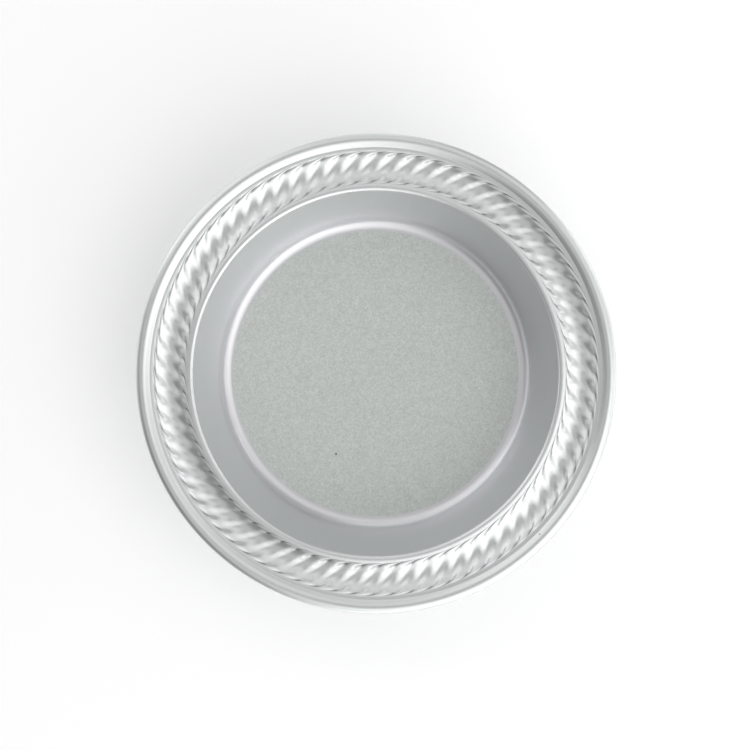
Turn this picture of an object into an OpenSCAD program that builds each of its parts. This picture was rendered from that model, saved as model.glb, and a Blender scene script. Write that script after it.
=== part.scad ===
/* [Bowl] */
// Diameter between the crests of the wall's top edge
opening_d = 98.3; // [80:0.1:120]
// Depth from the crest of the wall's top edge to the floor
depth = 24.5; // [18:0.5:32]
// Lean of the wall from upright, in degrees
wall_lean = 15; // [8:0.5:25]
// Inside radius of the corner between the floor and the wall
corner_r = 3.5; // [2:0.25:6]
// Radius over the top edge of the wall
edge_r = 1.1; // [1:0.05:2]
// Thickness of the sheet
sheet = 0.7; // [0.5:0.05:0.8]

/* [Rope band] */
// Width of the round channel that carries the rope band
channel_w = 10.3; // [8:0.1:12]
// Depth of the channel below its two edges
channel_depth = 1.9; // [1:0.1:2.5]
// Width of the rounded shoulder at each side of the channel
shoulder_w = 1.7; // [1.2:0.1:2.5]
// Bare width between each edge of the channel and the tips of the strands
tip_gap = 0.7; // [0.6:0.05:1]
// Number of strands round the rim
strands = 72; // [60:1:84]
// Height of a strand from its valleys to its crown, in the middle of the band
strand_rise = 0.24; // [0.1:0.02:0.3]
// Swelling of the strands towards their tips, where they stand highest
tip_swell = 3.4; // [0:0.1:4]
// Turn of a strand across the band, counted in strands
strand_turn = 1.86; // [0.5:0.02:2]
// Share of that turn that is a straight lean, the rest being curl at the tips
straight_share = 0.7; // [0.3:0.05:1]
// Lean of the crowns over the next valley at the tips, counted in strands
tip_skew = 0.06; // [0:0.005:0.1]

/* [Rolled edge] */
// Width of the land between the channel and the bend at the foot of the ridge
land_w = 0.3; // [0.1:0.05:2]
// Slope of the land, which rises towards the ridge, in degrees
land_lean = 10; // [0:1:12]
// Radius of the bend at the foot of the ridge
bend_r = 0.2; // [0.1:0.05:0.5]
// Distance from that bend to the crest of the ridge
ridge_w = 2; // [1.6:0.1:3]
// Radius over the crest of the ridge
ridge_r = 2; // [1:0.1:2.2]
// Slope of both flanks of the ridge, in degrees
flank_lean = 27; // [18:1:32]
// Distance from the crest of the ridge to the outer edge
lip_w = 1.7; // [1.5:0.05:2.5]
// Radius of the fold at the outer edge
fold_r = 0.9; // [0.8:0.05:1.1]
// Radius of the curl of the sheet under the edge
curl_r = 1.3; // [1.2:0.05:1.4]
// Angle at which the sheet's end stops under the edge, in degrees below level
curl_end = 150; // [100:5:150]

/* [Hidden] */

// One side of an arc is drawn with a step about this wide, in degrees
arc_step = 15;

// Heights of the floor's upper face and of the rim's two edges
floor_z = sheet;
rim_z = floor_z + depth;

// Places along the section, measured from the axis
crest_r = opening_d / 2;
half_w = channel_w / 2;
channel_r = crest_r + half_w;
land_r = crest_r + channel_w;
bend_x = land_r + land_w;
ridge_x = bend_x + ridge_w;
fold_x = ridge_x + lip_w - fold_r;

// The straight part of the wall runs between these heights and sets the floor
wall_foot_z = floor_z + corner_r * (1 - sin(wall_lean));
wall_head_z = rim_z - edge_r * (1 - sin(wall_lean));
wall_run = (wall_head_z - wall_foot_z) * tan(wall_lean);
floor_r = crest_r - (edge_r + corner_r) * cos(wall_lean) - wall_run;

// The channel is one hollow arc between two rounded shoulders
steepest = 2 * atan(channel_depth / half_w);
hollow_r = (half_w - shoulder_w) / sin(steepest);
shoulder_r = shoulder_w / sin(steepest);

// The land leaves the outer shoulder at its own slope and ends at the bend
land_start = [land_r - shoulder_r * sin(land_lean), rim_z - shoulder_r * (1 - cos(land_lean))];
land_end = [bend_x, land_start[1] + (bend_x - land_start[0]) * tan(land_lean)];
bend = land_end + bend_r * [-sin(land_lean), cos(land_lean)];

// Two even flanks carry the ridge's crest and lead down to the fold of the edge
flank_foot = bend + bend_r * [sin(flank_lean), -cos(flank_lean)];
rise_run = ridge_x - ridge_r * sin(flank_lean) - flank_foot[0];
flank_top_z = flank_foot[1] + rise_run * tan(flank_lean);
ridge = [ridge_x, flank_top_z - ridge_r * cos(flank_lean)];
fall_run = fold_x + (fold_r - ridge_r) * sin(flank_lean) - ridge_x;
fold = [fold_x, flank_top_z - fall_run * tan(flank_lean) - fold_r * cos(flank_lean)];
curl = fold + [0, curl_r - fold_r];

// The band of strands fills the channel up to its bare edges
band_half = half_w - tip_gap;
columns_per_strand = 4;
columns = strands * columns_per_strand;
rows_above = 4;
rows_below = 3;

// The plain sheet starts this far beyond the tips of the strands
tongue_bare = 0.15;
// The band's two edges reach this far beyond the tips, thinner by the inset on each face
tongue = 0.4;
tongue_inset = 0.12;

// Each place on the section is a point and the direction square to the sheet
function on_arc(centre, r, from, to, hollow) =
    let (n = max(2, ceil(abs(to - from) / arc_step)))
    [for (i = [0:n])
        let (a = from + (to - from) * i / n, d = [cos(a), sin(a)])
        [centre + r * d, hollow ? -d : d]];

function upper(side) = [for (s = side) s[0]];
function lower(side) = [for (i = [len(side) - 1:-1:0]) side[i][0] - sheet * side[i][1]];

// Angle that the shoulder has turned through where the plain sheet ends
bare_angle = asin((tip_gap - tongue_bare) / shoulder_r);

bowl_side = concat(
    [[[0, floor_z], [0, 1]]],
    on_arc([floor_r, floor_z + corner_r], corner_r, -90, -wall_lean, true),
    on_arc([crest_r, rim_z - edge_r], edge_r, 180 - wall_lean, 90, false),
    on_arc([crest_r, rim_z - shoulder_r], shoulder_r, 90 - arc_step / 4, 90 - bare_angle, false));

edge_side = concat(
    on_arc([land_r, rim_z - shoulder_r], shoulder_r, 90 + bare_angle, 90 + land_lean, false),
    on_arc(bend, bend_r, land_lean - 90, flank_lean - 90, true),
    on_arc(ridge, ridge_r, 90 + flank_lean, 90 - flank_lean, false),
    on_arc(fold, fold_r, 90 - flank_lean, -90, false),
    on_arc(curl, curl_r, -90 - arc_step, -curl_end, false));

module turned(side) {
    rotate_extrude($fn = 360) polygon(concat(upper(side), lower(side)));
}

// Height and slope of the channel at a distance d from its middle
function channel_z(d) =
    abs(d) < half_w - shoulder_w
        ? rim_z - channel_depth + hollow_r - sqrt(pow(hollow_r, 2) - d * d)
        : rim_z - shoulder_r + sqrt(pow(shoulder_r, 2) - pow(half_w - abs(d), 2));
function channel_slope(d) =
    abs(d) < half_w - shoulder_w
        ? asin(d / hollow_r)
        : sign(d) * asin((half_w - abs(d)) / shoulder_r);

// A strand leans across the band and curls at both tips, where its crown leans over too
function strand_shift(x, f) =
    tip_skew * x * cos(360 * f)
    - strand_turn / 2 * (straight_share * x + (1 - straight_share) * pow(x, 5));

// A strand is a smooth wave in the middle of the band. Towards its tips it swells and its
// valleys turn sharp. Its crown runs out gently there, and the valleys end abruptly.
function strand_height(x, f) =
    let (tip = pow(x, 4),
         wave = -cos(360 * f),
         crown = 8 * f * (1 - f) - 1,
         level = (1 + tip * crown + (1 - tip) * wave) / 2)
    strand_rise / 2 * (1 + tip_swell * tip)
        * (level * (1 - pow(x, 8)) - (1 - level) * (1 - pow(x, 16)));

// A row is its distance from the channel's middle, its place x from -1 to 1 and its offset
function band_rows(n, offset, inset) =
    [for (k = [-n:n])
        let (x = sin(90 * k / n))
        abs(k) == n ? [x * (band_half + tongue), x, offset + inset] : [band_half * x, x, offset]];

function band_point(row, j) =
    let (f = (j % columns_per_strand) / columns_per_strand,
         slope = channel_slope(row[0]),
         rise = row[2] + strand_height(row[1], f),
         r = channel_r + row[0] - rise * sin(slope),
         a = (j / columns_per_strand + strand_shift(row[1], f)) * 360 / strands)
    [r * cos(a), r * sin(a), channel_z(row[0]) + rise * cos(slope)];

// Closed ring of rows: out along the upper face and back along the lower one
module rope_band() {
    above = band_rows(rows_above, 0, -tongue_inset);
    below = band_rows(rows_below, -sheet, tongue_inset);
    rows = concat(above, [for (i = [len(below) - 1:-1:0]) below[i]]);
    n = len(rows);
    points = [for (row = rows, j = [0:columns - 1]) band_point(row, j)];
    faces = [for (i = [0:n - 1], j = [0:columns - 1])
        let (i2 = (i + 1) % n, j2 = (j + 1) % columns,
             a = i * columns + j, b = i * columns + j2,
             c = i2 * columns + j2, d = i2 * columns + j)
        each i < len(above) - 1 ? [[a, b, c], [a, c, d]] : [[a, b, d], [b, c, d]]];
    polyhedron(points, faces);
}

module bowl() {
    turned(bowl_side);
}

module rolled_edge() {
    turned(edge_side);
}

module pan() {
    color("silver")
    union() {
        bowl();
        rope_band();
        rolled_edge();
    }
}

pan();
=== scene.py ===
"""A mini pie pan of pressed aluminium sheet with a rope band on its rim, seen from above."""
import math

import bpy
import numpy as np
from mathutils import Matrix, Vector


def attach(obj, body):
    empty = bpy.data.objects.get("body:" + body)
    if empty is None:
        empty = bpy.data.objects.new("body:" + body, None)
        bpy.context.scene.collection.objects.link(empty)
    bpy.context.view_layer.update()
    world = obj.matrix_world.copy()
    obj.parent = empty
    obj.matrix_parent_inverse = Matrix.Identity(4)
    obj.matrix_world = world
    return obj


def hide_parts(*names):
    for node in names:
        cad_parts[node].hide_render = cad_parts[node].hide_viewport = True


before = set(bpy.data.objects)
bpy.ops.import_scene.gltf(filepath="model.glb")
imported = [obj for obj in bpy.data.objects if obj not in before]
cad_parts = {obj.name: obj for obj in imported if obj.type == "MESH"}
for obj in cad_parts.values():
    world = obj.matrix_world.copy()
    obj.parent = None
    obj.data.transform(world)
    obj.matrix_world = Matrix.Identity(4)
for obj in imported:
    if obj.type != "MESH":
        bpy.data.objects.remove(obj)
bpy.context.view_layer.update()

# Sizes of the pan in millimetres, the same as in the CAD source
SHEET = 0.7
OPENING_D = 98.3
DEPTH = 24.5
WALL_LEAN = 15.0
CORNER_R = 3.5
EDGE_R = 1.1
CHANNEL_W = 10.3
CHANNEL_DEPTH = 1.9
SHOULDER_W = 1.7
TIP_GAP = 0.7
STRANDS = 72
LAND_W = 0.3
LAND_LEAN = 10.0
BEND_R = 0.2
RIDGE_W = 2.0
RIDGE_R = 2.0
FLANK_LEAN = 27.0
FOLD_R = 0.9
CURL_R = 1.3
CURL_END = 150.0
# A hair narrower than in the source, so that the smooth edge stays inside the source's box
LIP_W = 1.69

# The strands have a finer form here than in the source: their height from valley to crown, their
# turn across the band and the lean of their crowns at the tips, both counted in strands
STRAND_RISE = 0.28
STRAND_TURN = 1.476
TIP_SKEW = 0.04
# How suddenly the strands swell and how suddenly they take their gentle curl
SWELL_POWER = 5
CURL_POWER = 2.2
# The inner and the outer tips differ. At each, the valleys take a gentle curl and a sudden hook,
# the strands swell and then run out, and each valley closes to a narrow slit. A slit has its depth
# in millimetres and its width in strands. It starts and ends at places from 0, in the band's
# middle, to 1 at the tips.
INNER_TIPS = {"curl": 0.0, "hook": 1.3, "hook_power": 12.0, "swell": 0.7, "end_power": 5.0,
              "slit": 0.2, "slit_width": 0.1, "slit_start": 0.62, "slit_end": 0.95}
OUTER_TIPS = {"curl": 0.15, "hook": 0.6, "hook_power": 16.0, "swell": 3.2, "end_power": 5.5,
              "slit": 0.2, "slit_width": 0.13, "slit_start": 0.72, "slit_end": 0.96}
# Distances over which a slit opens and closes again
SLIT_OPENS = 0.14
SLIT_CLOSES = 0.06

# Fine ripple where the corner meets the wall: shares of the way up the wall, and how far the
# sheet is shifted there, in millimetres
FOOT_SHARES = (0.008, 0.018, 0.028, 0.038, 0.048)
FOOT_RIPPLE = (-0.035, 0.01, 0.035, 0.0, 0.0)
# Depth of the fine crease in the bend at the foot of the ridge, and the shares of the land and of
# the ridge's flank where it starts and ends
CREASE = 0.05
CREASE_START = 0.7
CREASE_END = 0.12

# Places along the section, worked out as in the CAD source
LEAN = math.radians(WALL_LEAN)
FLOOR_Z = SHEET
RIM_Z = FLOOR_Z + DEPTH
CREST_R = OPENING_D / 2
HALF_W = CHANNEL_W / 2
CHANNEL_R = CREST_R + HALF_W
LAND_R = CREST_R + CHANNEL_W
WALL_FOOT_Z = FLOOR_Z + CORNER_R * (1 - math.sin(LEAN))
WALL_HEAD_Z = RIM_Z - EDGE_R * (1 - math.sin(LEAN))
WALL_RUN = (WALL_HEAD_Z - WALL_FOOT_Z) * math.tan(LEAN)
FLOOR_R = CREST_R - (EDGE_R + CORNER_R) * math.cos(LEAN) - WALL_RUN
STEEPEST = 2 * math.atan(CHANNEL_DEPTH / HALF_W)
HOLLOW_R = (HALF_W - SHOULDER_W) / math.sin(STEEPEST)
SHOULDER_R = SHOULDER_W / math.sin(STEEPEST)
BAND_HALF = HALF_W - TIP_GAP
BARE_ANGLE = math.degrees(math.asin(TIP_GAP / SHOULDER_R))

# The land rises gently to a bend, and a low ridge with two even flanks stands beyond it
LAND = math.radians(LAND_LEAN)
FLANK = math.radians(FLANK_LEAN)
BEND_X = LAND_R + LAND_W
LAND_RUN = LAND_W + SHOULDER_R * math.sin(LAND)
LAND_Z = RIM_Z - SHOULDER_R * (1 - math.cos(LAND)) + LAND_RUN * math.tan(LAND)
BEND = (BEND_X - BEND_R * math.sin(LAND), LAND_Z + BEND_R * math.cos(LAND))
RIDGE_X = BEND_X + RIDGE_W
RISE_RUN = RIDGE_X - RIDGE_R * math.sin(FLANK) - BEND[0] - BEND_R * math.sin(FLANK)
FLANK_TOP_Z = BEND[1] - BEND_R * math.cos(FLANK) + RISE_RUN * math.tan(FLANK)
RIDGE = (RIDGE_X, FLANK_TOP_Z - RIDGE_R * math.cos(FLANK))
# The outer flank ends in the fold of the edge, and the sheet curls in under it
OUTER_R = RIDGE_X + LIP_W
FOLD_X = OUTER_R - FOLD_R
FALL_RUN = FOLD_X + FOLD_R * math.sin(FLANK) - RIDGE_X - RIDGE_R * math.sin(FLANK)
FOLD = (FOLD_X, FLANK_TOP_Z - FALL_RUN * math.tan(FLANK) - FOLD_R * math.cos(FLANK))
CURL = (FOLD_X, FOLD[1] - FOLD_R + CURL_R)

# Fineness of the mesh, where the lower face takes fewer steps than the upper one
PLAIN_COLUMNS = 360
ROWS_ABOVE = 40
ROWS_BELOW = 14
BOWL_STEPS_ABOVE = 14
BOWL_STEPS_BELOW = 8
EDGE_STEPS_ABOVE = 8
EDGE_STEPS_BELOW = 4
SHOULDER_STEPS = 4
# Shares of the way across the flat floor and up the straight wall that have a ring
FLOOR_SHARES = (0.25, 0.5, 0.75, 0.93)
WALL_SHARES = (0.25, 0.5, 0.75)
# Places of the columns across one strand, close together at its valleys
STRAND_PLACES = np.array([0.0, 0.025, 0.06, 0.12, 0.22, 0.36, 0.5, 0.64, 0.78, 0.88, 0.94, 0.975])


def metres(mm):
    return mm * 0.001


def arc(centre, radius, start, end, hollow, steps):
    """Places on an arc of the upper face: radius, height and the direction square to the sheet."""
    places = []
    side = -1 if hollow else 1
    for i in range(steps + 1):
        angle = math.radians(start + (end - start) * i / steps)
        out = (math.cos(angle), math.sin(angle))
        places.append((centre[0] + radius * out[0], centre[1] + radius * out[1],
                       side * out[0], side * out[1]))
    return places


def straight(first, last, shares):
    """Places between two places of the upper face, at the given shares of the way."""
    return [tuple(a + (b - a) * share for a, b in zip(first, last)) for share in shares]


def moved(place, distance):
    """The place shifted square to the sheet."""
    r, z, nr, nz = place
    return r + nr * distance, z + nz * distance, nr, nz


def shoulder_places(middle, start, end):
    """The rounded shoulder beside the channel, from one angle to another."""
    return arc((middle, RIM_Z - SHOULDER_R), SHOULDER_R, start, end, False, SHOULDER_STEPS)


def bowl_places(steps):
    """The upper face from the floor's middle to the inner tips of the strands."""
    corner = arc((FLOOR_R, FLOOR_Z + CORNER_R), CORNER_R, -90, -WALL_LEAN, True, steps)
    crest = arc((CREST_R, RIM_Z - EDGE_R), EDGE_R, 180 - WALL_LEAN, 90, False, steps * 3 // 4)
    floor = straight((0, FLOOR_Z, 0, 1), corner[0], FLOOR_SHARES)
    foot = straight(corner[-1], crest[0], FOOT_SHARES)
    foot = [moved(place, distance) for place, distance in zip(foot, FOOT_RIPPLE)]
    wall = straight(corner[-1], crest[0], WALL_SHARES)
    shoulder = shoulder_places(CREST_R, 90, 90 - BARE_ANGLE)
    return floor + corner + foot + wall + crest + shoulder[1:-1]


def land_places():
    """The upper face from the outer tips of the strands to the foot of the rim's ridge."""
    shoulder = shoulder_places(LAND_R, 90 + BARE_ANGLE, 90 + LAND_LEAN)
    bend = arc(BEND, BEND_R, LAND_LEAN - 90, FLANK_LEAN - 90, True, 2)
    flank_top = arc(RIDGE, RIDGE_R, 90 + FLANK_LEAN, 90, False, 1)[0]
    before = straight(shoulder[-1], bend[0], (CREASE_START,))
    after = straight(bend[-1], flank_top, (CREASE_END,))
    return shoulder[1:] + before + [moved(bend[1], -CREASE)] + after


def edge_places(steps):
    """The outer face of the rolled edge: over the ridge, round the fold and under to its end."""
    ridge = arc(RIDGE, RIDGE_R, 90 + FLANK_LEAN, 90 - FLANK_LEAN, False, steps)
    fold = arc(FOLD, FOLD_R, 90 - FLANK_LEAN, -90, False, 2 * steps)
    curl = arc(CURL, CURL_R, -90, -CURL_END, False, steps)
    return ridge + fold + curl[1:]


def channel(distance):
    """Height and slope of the channel at a distance from its middle."""
    if abs(distance) < HALF_W - SHOULDER_W:
        height = RIM_Z - CHANNEL_DEPTH + HOLLOW_R - math.sqrt(HOLLOW_R ** 2 - distance ** 2)
        return height, math.asin(distance / HOLLOW_R)
    past = HALF_W - abs(distance)
    height = RIM_Z - SHOULDER_R + math.sqrt(SHOULDER_R ** 2 - past ** 2)
    return height, math.copysign(math.asin(past / SHOULDER_R), distance)


def ring(radius, angle, height):
    """Points at the angles given, where the radius and the height may change along the ring."""
    points = [radius * np.cos(angle), radius * np.sin(angle), height + 0 * angle]
    return np.stack(points, axis=-1).reshape(-1, 3)


def plain_ring(radius, height):
    return ring(radius, np.arange(PLAIN_COLUMNS) * 2 * math.pi / PLAIN_COLUMNS, height)


def fade(value, start, end):
    """Goes smoothly from 0 to 1 while the value goes from start to end."""
    share = min(max((value - start) / (end - start), 0), 1)
    return share * share * (3 - 2 * share)


def band_places(rows):
    """Rows across the band, from -1 at the inner tips to 1 at the outer ones, closest at both."""
    return [math.sin(math.pi / 2 * (2 * k / rows - 1)) for k in range(rows + 1)]


def tip_form(place):
    return OUTER_TIPS if place > 0 else INNER_TIPS


def slit_share(place):
    """How far the slit is open, from 0 to 1, at each column of a strand in this row of the band."""
    form, share = tip_form(place), abs(place)
    opening = (fade(share, form["slit_start"], form["slit_start"] + SLIT_OPENS)
               * (1 - fade(share, form["slit_end"] - SLIT_CLOSES, form["slit_end"])))
    beside = np.minimum(STRAND_PLACES, 1 - STRAND_PLACES) / form["slit_width"]
    return opening * np.exp(-beside ** 2)


def band_ring(place, offset):
    """One row of the rope band, on the upper face or at an offset from it."""
    height, slope = channel(BAND_HALF * place)
    form, share = tip_form(place), abs(place)
    wave = np.cos(2 * math.pi * STRAND_PLACES)
    level = -wave * (1 + form["swell"] * share ** SWELL_POWER) * (1 - share ** form["end_power"])
    rise = offset + STRAND_RISE / 2 * level
    if offset == 0:
        # The slits are too narrow to show on the lower face
        rise = rise - form["slit"] * slit_share(place)
    curl = form["curl"] * share ** CURL_POWER
    lean = STRAND_TURN / 2 * share + curl + form["hook"] * share ** form["hook_power"]
    across = STRAND_PLACES - math.copysign(lean, place) + TIP_SKEW * place * wave
    turn = np.arange(STRANDS)[:, None] + across[None, :]
    radius = CHANNEL_R + BAND_HALF * place - rise * math.sin(slope)
    return ring(radius, turn * 2 * math.pi / STRANDS, height + rise * math.cos(slope))


def band_rings(rows, offset):
    return [band_ring(place, offset) for place in band_places(rows)]


def lower_rings(places):
    """The lower face under some places of the upper one, in the opposite order."""
    return [plain_ring(r - SHEET * nr, z - SHEET * nz) for r, z, nr, nz in reversed(places)]


def end_rings(last):
    """The rounded end of the sheet inside the rolled edge."""
    r, z, nr, nz = last
    half = SHEET / 2
    rings = []
    for angle in (math.pi / 4, math.pi / 2, 3 * math.pi / 4):
        along, across = half * math.sin(angle), half * math.cos(angle)
        rings.append(plain_ring(r - nr * half + nr * across + nz * along,
                                z - nz * half + nz * across - nr * along))
    return rings


def join_faces(first, second, start_a, start_b):
    """Faces between two rings, which may have different numbers of points."""
    count_a, count_b = len(first), len(second)
    if count_a == 1:
        return [(start_a, start_b + j, start_b + (j + 1) % count_b) for j in range(count_b)]
    if count_b == 1:
        return [(start_a + j, start_b, start_a + (j + 1) % count_a) for j in range(count_a)]
    if count_a == count_b:
        return [(start_a + j, start_b + j, start_b + (j + 1) % count_b, start_a + (j + 1) % count_a)
                for j in range(count_a)]
    round_a = np.unwrap(np.arctan2(first[:, 1], first[:, 0]))
    round_b = np.unwrap(np.arctan2(second[:, 1], second[:, 0]))
    whole = 2 * math.pi
    shift = round((round_b[0] - round_a[0]) / whole * count_a)
    order_a = [(shift + k) % count_a for k in range(count_a + 1)]
    turn_a = [round_a[(shift + k) % count_a] + whole * ((shift + k) // count_a)
              for k in range(count_a + 1)]
    turn_b = [round_b[k % count_b] + whole * (k // count_b) for k in range(count_b + 1)]
    faces, i, j = [], 0, 0
    while i < count_a or j < count_b:
        if j >= count_b or (i < count_a and turn_a[i + 1] <= turn_b[j + 1]):
            faces.append((start_a + order_a[i], start_b + j % count_b, start_a + order_a[i + 1]))
            i += 1
        else:
            faces.append((start_a + order_a[i], start_b + j % count_b, start_b + (j + 1) % count_b))
            j += 1
    return faces


def mark_slit_shade(mesh, first):
    """Stores how far the slits are open at each point, for the material, which paints shade into
    them.
    """
    opening = [np.tile(slit_share(place), STRANDS) for place in band_places(ROWS_ABOVE)]
    opening = np.concatenate(opening)
    share = np.zeros(len(mesh.vertices), np.float32)
    share[first:first + len(opening)] = opening
    mesh.attributes.new("slit", "FLOAT", "POINT").data.foreach_set("value", share)


def pan_mesh():
    """The whole sheet as one closed surface, out along the upper face and back along the lower."""
    bowl, land = bowl_places(BOWL_STEPS_ABOVE), land_places()
    edge = edge_places(EDGE_STEPS_ABOVE)
    rings = [np.array([[0, 0, FLOOR_Z]])]
    rings += [plain_ring(r, z) for r, z, _, _ in bowl]
    rings += band_rings(ROWS_ABOVE, 0)
    rings += [plain_ring(r, z) for r, z, _, _ in land + edge]
    rings += end_rings(edge[-1])
    rings += lower_rings(land + edge_places(EDGE_STEPS_BELOW))
    rings += reversed(band_rings(ROWS_BELOW, -SHEET))
    rings += lower_rings(bowl_places(BOWL_STEPS_BELOW))
    rings += [np.array([[0, 0, 0]])]
    starts = np.cumsum([0] + [len(points) for points in rings]).tolist()
    faces = []
    for i in range(len(rings) - 1):
        faces += join_faces(rings[i], rings[i + 1], starts[i], starts[i + 1])
    mesh = bpy.data.meshes.new("pan_sheet")
    mesh.from_pydata(metres(np.concatenate(rings)).tolist(), [], faces)
    mark_slit_shade(mesh, starts[1 + len(bowl)])
    mesh.validate()
    mesh.polygons.foreach_set("use_smooth", [True] * len(mesh.polygons))
    mesh.update()
    return mesh


# Tone and roughness of the three finishes
FLOOR_COLOUR = (0.688, 0.722, 0.699, 1)
WALL_COLOUR = (0.777, 0.776, 0.794, 1)
RIM_COLOUR = (0.783, 0.803, 0.800, 1)
FLOOR_ROUGH = 0.62
WALL_ROUGH = 0.38
RIM_ROUGH = 0.34
# Distances in millimetres over which they fade into each other: inside the floor's edge, and
# before the wall's crest. The floor's finish stops between these shares of the sheet's thickness.
FLOOR_FADE = 0.15
RIM_FADE = (1.2, 0.4)
FACE_FADE = (0.4, 0.6)

# Painted shade for the slits at the tips of the strands: its tone, and how far the slits take it
SLIT_SHADE_COLOUR = (0.22, 0.225, 0.23, 1)
SLIT_SHADE_SHARE = 0.85

# Two dark specks: place from the axis and radius, in millimetres, and where their edge fades
SPECKS = (((-10.1, -22.3), 0.36), ((44.6, -40.8), 0.2))
SPECK_FADE = (1.2, 0.6)
SPECK_COLOUR = (0.28, 0.28, 0.28, 1)

# Noise in the sheet: fine grain, mottling and slow clouds
GRAIN_SCALE = 2100
MOTTLE_SCALE = 800
CLOUD_SCALE = 45
NOISE_DETAIL = 3
# How far the noise changes the tone and the bump, on smooth metal and on the frosted floor
GRAIN_TONE = (0.04, 0.5)
MOTTLE_TONE = (0.02, 0.14)
GRAIN_BUMP = (0.06, 0.5)
# Height of the grain's bump in millimetres
GRAIN_HEIGHT = 0.02
# How far the clouds change the tone and the roughness
CLOUD_TONE = 0.03
CLOUD_ROUGH = 0.05


class Nodes:
    """Short names for making and joining the nodes of one material."""

    def __init__(self, tree):
        self.tree = tree
        tree.nodes.clear()

    def add(self, kind, **settings):
        node = self.tree.nodes.new(kind)
        for name, value in settings.items():
            setattr(node, name, value)
        return node

    def link(self, source, target):
        self.tree.links.new(source, target)

    def math(self, operation, a, b=0.0):
        node = self.add("ShaderNodeMath", operation=operation)
        for socket, value in zip(node.inputs, (a, b)):
            if isinstance(value, (int, float)):
                socket.default_value = value
            else:
                self.link(value, socket)
        return node.outputs[0]

    def fade(self, value, start, end, low=0.0, high=1.0):
        """Goes smoothly from low to high while the value goes from start to end."""
        node = self.add("ShaderNodeMapRange", interpolation_type="SMOOTHSTEP")
        self.link(value, node.inputs["Value"])
        limits = {"From Min": start, "From Max": end, "To Min": low, "To Max": high}
        for name, number in limits.items():
            node.inputs[name].default_value = number
        return node.outputs["Result"]

    def fade_between(self, share, low, high):
        return self.math("ADD", self.math("MULTIPLY", share, high - low), low)

    def noise(self, place, scale):
        node = self.add("ShaderNodeTexNoise")
        self.link(place, node.inputs["Vector"])
        node.inputs["Scale"].default_value = scale
        node.inputs["Detail"].default_value = NOISE_DETAIL
        return node.outputs["Fac"]

    def swing(self, noise, amount):
        """The noise about zero, times an amount."""
        return self.math("MULTIPLY", self.math("SUBTRACT", noise, 0.5), amount)

    def mix_colour(self, share, first, second):
        node = self.add("ShaderNodeMix", data_type="RGBA")
        self.link(share, node.inputs["Factor"])
        colours = [s for s in node.inputs if s.type == "RGBA"]
        for socket, value in zip(colours, (first, second)):
            if isinstance(value, tuple):
                socket.default_value = value
            else:
                self.link(value, socket)
        return [s for s in node.outputs if s.type == "RGBA"][0]


def zones(n, place):
    """The place seen from above, and how far it is on the upper side, the floor and the rim."""
    parts = n.add("ShaderNodeSeparateXYZ")
    n.link(place, parts.inputs[0])
    flat = n.add("ShaderNodeCombineXYZ")
    n.link(parts.outputs["X"], flat.inputs["X"])
    n.link(parts.outputs["Y"], flat.inputs["Y"])
    length = n.add("ShaderNodeVectorMath", operation="LENGTH")
    n.link(flat.outputs[0], length.inputs[0])
    radius = length.outputs["Value"]
    inside = n.fade(radius, metres(FLOOR_R), metres(FLOOR_R - FLOOR_FADE))
    on_top = n.fade(parts.outputs["Z"], *(metres(SHEET * share) for share in FACE_FADE))
    on_rim = n.fade(radius, *(metres(CREST_R - distance) for distance in RIM_FADE))
    return flat.outputs[0], on_top, n.math("MULTIPLY", inside, on_top), on_rim


def sheet_tone(n, frosted, on_rim, grain, mottle, cloud):
    """Colour of the sheet with its grain, mottling and clouds."""
    tone = n.mix_colour(on_rim, WALL_COLOUR, RIM_COLOUR)
    tone = n.mix_colour(frosted, tone, FLOOR_COLOUR)
    speckle = n.math("ADD", n.swing(grain, n.fade_between(frosted, *GRAIN_TONE)),
                     n.swing(mottle, n.fade_between(frosted, *MOTTLE_TONE)))
    level = n.math("ADD", n.math("ADD", speckle, n.swing(cloud, CLOUD_TONE)), 1.0)
    scale = n.add("ShaderNodeVectorMath", operation="SCALE")
    n.link(tone, scale.inputs[0])
    n.link(level, scale.inputs["Scale"])
    return scale.outputs[0]


def add_specks_and_slit_shade(n, tone, flat, on_top):
    """Puts the dark specks and the painted shade of the slits over the sheet's tone."""
    for middle, size in SPECKS:
        away = n.add("ShaderNodeVectorMath", operation="DISTANCE")
        n.link(flat, away.inputs[0])
        away.inputs[1].default_value = (metres(middle[0]), metres(middle[1]), 0)
        spot = n.fade(away.outputs["Value"], *(metres(size * share) for share in SPECK_FADE))
        tone = n.mix_colour(n.math("MULTIPLY", spot, on_top), tone, SPECK_COLOUR)
    # Painted shade: the slits take the dark tone as far as they are open
    slit = n.add("ShaderNodeAttribute", attribute_name="slit").outputs["Fac"]
    return n.mix_colour(n.math("MULTIPLY", slit, SLIT_SHADE_SHARE), tone, SLIT_SHADE_COLOUR)


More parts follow.
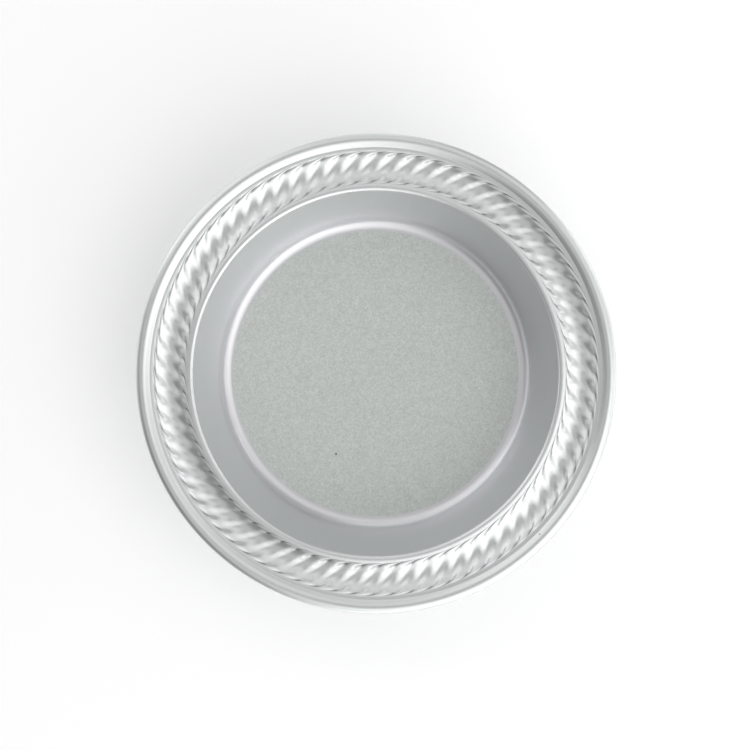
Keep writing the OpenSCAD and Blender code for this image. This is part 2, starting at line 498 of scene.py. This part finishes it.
def satin_metal():
    """Pressed aluminium: a frosted floor, a smooth wall and a satin rim that fade together."""
    material = bpy.data.materials.new("pan_metal")
    material.use_nodes = True
    n = Nodes(material.node_tree)
    out = n.add("ShaderNodeOutputMaterial")
    metal = n.add("ShaderNodeBsdfPrincipled")
    n.link(metal.outputs["BSDF"], out.inputs["Surface"])
    metal.inputs["Metallic"].default_value = 1.0

    place = n.add("ShaderNodeTexCoord").outputs["Object"]
    flat, on_top, frosted, on_rim = zones(n, place)
    grain = n.noise(place, GRAIN_SCALE)
    mottle = n.noise(place, MOTTLE_SCALE)
    cloud = n.noise(place, CLOUD_SCALE)
    tone = sheet_tone(n, frosted, on_rim, grain, mottle, cloud)
    n.link(add_specks_and_slit_shade(n, tone, flat, on_top), metal.inputs["Base Color"])

    rough = n.fade_between(on_rim, WALL_ROUGH, RIM_ROUGH)
    rough = n.math("ADD", rough, n.math("MULTIPLY", frosted, FLOOR_ROUGH - WALL_ROUGH))
    rough = n.math("ADD", rough, n.swing(cloud, CLOUD_ROUGH))
    n.link(rough, metal.inputs["Roughness"])

    bump = n.add("ShaderNodeBump")
    bump.inputs["Distance"].default_value = metres(GRAIN_HEIGHT)
    n.link(grain, bump.inputs["Height"])
    n.link(n.fade_between(frosted, *GRAIN_BUMP), bump.inputs["Strength"])
    n.link(bump.outputs["Normal"], metal.inputs["Normal"])
    return material


def make_pan():
    pan = bpy.data.objects.new("pan_body", pan_mesh())
    bpy.context.scene.collection.objects.link(pan)
    pan.data.materials.append(satin_metal())
    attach(pan, "root")
    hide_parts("pan")


# The table is a round white sheet, turned up at its far edge so that it also makes the backdrop.
# Its sizes are in metres.
TABLE_COLOUR = (0.9, 0.9, 0.9, 1)
TABLE_RADIUS = 2.5
TABLE_TURN_R = 0.5
TABLE_TURN_STEPS = 8
TABLE_COLUMNS = 72
BACKDROP_TOP = 0.55
# The lit table is short of white by about this much, which its own glow makes up
TABLE_GLOW = 0.24


def make_floor():
    """A plain white table under the pan, and the backdrop that it turns up into."""
    profile = []
    for i in range(TABLE_TURN_STEPS + 1):
        angle = math.pi / 2 * i / TABLE_TURN_STEPS
        profile.append((TABLE_RADIUS + TABLE_TURN_R * math.sin(angle),
                        TABLE_TURN_R * (1 - math.cos(angle))))
    profile.append((TABLE_RADIUS + TABLE_TURN_R, BACKDROP_TOP))
    turn = np.arange(TABLE_COLUMNS) * 2 * math.pi / TABLE_COLUMNS
    rings = [ring(radius, turn, height) for radius, height in profile]
    faces = [tuple(range(TABLE_COLUMNS))]
    for i in range(len(rings) - 1):
        faces += join_faces(rings[i], rings[i + 1], i * TABLE_COLUMNS, (i + 1) * TABLE_COLUMNS)
    mesh = bpy.data.meshes.new("table")
    mesh.from_pydata(np.concatenate(rings).tolist(), [], faces)
    mesh.polygons.foreach_set("use_smooth", [len(f.vertices) == 4 for f in mesh.polygons])
    table = bpy.data.objects.new("table", mesh)
    bpy.context.scene.collection.objects.link(table)
    table.data.materials.append(white_table())


def white_table():
    """White paint that keeps the pan's shadow, with a glow for the camera, metal and glass."""
    material = bpy.data.materials.new("table_white")
    material.use_nodes = True
    n = Nodes(material.node_tree)
    out = n.add("ShaderNodeOutputMaterial")
    paint = n.add("ShaderNodeBsdfDiffuse")
    paint.inputs["Color"].default_value = TABLE_COLOUR
    path = n.add("ShaderNodeLightPath")
    seen = n.math("ADD", path.outputs["Is Camera Ray"], path.outputs["Is Glossy Ray"])
    seen = n.math("ADD", seen, path.outputs["Is Transmission Ray"])
    glow = n.add("ShaderNodeEmission")
    n.link(n.math("MULTIPLY", n.math("MINIMUM", seen, 1.0), TABLE_GLOW), glow.inputs["Strength"])
    both = n.add("ShaderNodeAddShader")
    n.link(paint.outputs[0], both.inputs[0])
    n.link(glow.outputs[0], both.inputs[1])
    n.link(both.outputs[0], out.inputs["Surface"])
    return material


# The photograph is 750 pixels wide. The rim's outer edge is a circle in it.
PHOTO_WIDTH = 750
RIM_RADIUS_PX = 240.54
RIM_CENTRE_PX = (375.93, 373.53)
CAMERA_HEIGHT = 700.0
# Turns the camera about its own axis, so that each strand falls where it does in the photograph
CAMERA_TURN = 2.0
CAMERA_CLIP = (0.05, 20)
SENSOR = 36.0


def make_camera():
    """Looks straight down, so that the rim fills the same circle as in the photograph."""
    data = bpy.data.cameras.new("camera")
    camera = bpy.data.objects.new("camera", data)
    bpy.context.scene.collection.objects.link(camera)
    data.sensor_width = SENSOR
    data.lens = RIM_RADIUS_PX * SENSOR * CAMERA_HEIGHT / (PHOTO_WIDTH * OUTER_R)
    data.shift_x = (PHOTO_WIDTH / 2 - RIM_CENTRE_PX[0]) / PHOTO_WIDTH
    data.shift_y = (RIM_CENTRE_PX[1] - PHOTO_WIDTH / 2) / PHOTO_WIDTH
    camera.location = (0, 0, metres(FOLD[1] + CAMERA_HEIGHT))
    camera.rotation_euler = (0, 0, math.radians(CAMERA_TURN))
    data.clip_start, data.clip_end = CAMERA_CLIP
    bpy.context.scene.camera = camera


# The world is the plain grey room above and behind the soft boxes
ROOM_LEVEL = 0.22

# Rings of round soft boxes: height above level in degrees, width in metres, brightness, and the
# directions in degrees, where 0 is the picture's right. The first one is the main light, from the
# lower right of the picture.
SOFT_BOXES = (
    (50, 1.2, 0.74, (315,)),
    (14, 0.45, 2.3, (300,)),
    (14, 0.45, 1.4, (270, 330, 0, 30)),
    (14, 0.45, 1.3, (150,)),
    (14, 0.45, 0.7, (90, 120, 180)),
    (38, 0.7, 0.6, (270, 315)),
    (38, 0.7, 0.42, (0, 45, 90)),
    (38, 0.7, 0.75, (135,)),
    (62, 0.7, 0.36, (0, 60)),
    (62, 0.7, 0.26, (120, 180, 240)),
)
BOX_DISTANCE = 1.0


def add_soft_box(lift, width, level, turn):
    """A round area lamp that faces the pan and doesn't show to the camera."""
    data = bpy.data.lights.new("soft_box", "AREA")
    data.shape = "DISK"
    data.size = width
    # A disk of this radius and energy has the stated brightness
    data.energy = level * math.pi ** 2 * (width / 2) ** 2
    lamp = bpy.data.objects.new("soft_box", data)
    bpy.context.scene.collection.objects.link(lamp)
    lamp.visible_camera = False
    level_run = math.cos(lift)
    away = Vector((math.cos(turn) * level_run, math.sin(turn) * level_run, math.sin(lift)))
    lamp.location = Vector((0, 0, metres(RIM_Z))) + away * BOX_DISTANCE
    lamp.rotation_mode = "QUATERNION"
    lamp.rotation_quaternion = away.to_track_quat("Z", "Y")


def make_lamps():
    for height, width, level, directions in SOFT_BOXES:
        for direction in directions:
            add_soft_box(math.radians(height), width, level, math.radians(direction))


def make_world():
    world = bpy.data.worlds.new("studio")
    bpy.context.scene.world = world
    world.use_nodes = True
    n = Nodes(world.node_tree)
    out = n.add("ShaderNodeOutputWorld")
    room = n.add("ShaderNodeBackground")
    room.inputs["Color"].default_value = (1, 1, 1, 1)
    room.inputs["Strength"].default_value = ROOM_LEVEL
    n.link(room.outputs[0], out.inputs["Surface"])


make_pan()
make_floor()
make_camera()
make_lamps()
make_world()
bpy.context.scene.view_settings.view_transform = "Standard"
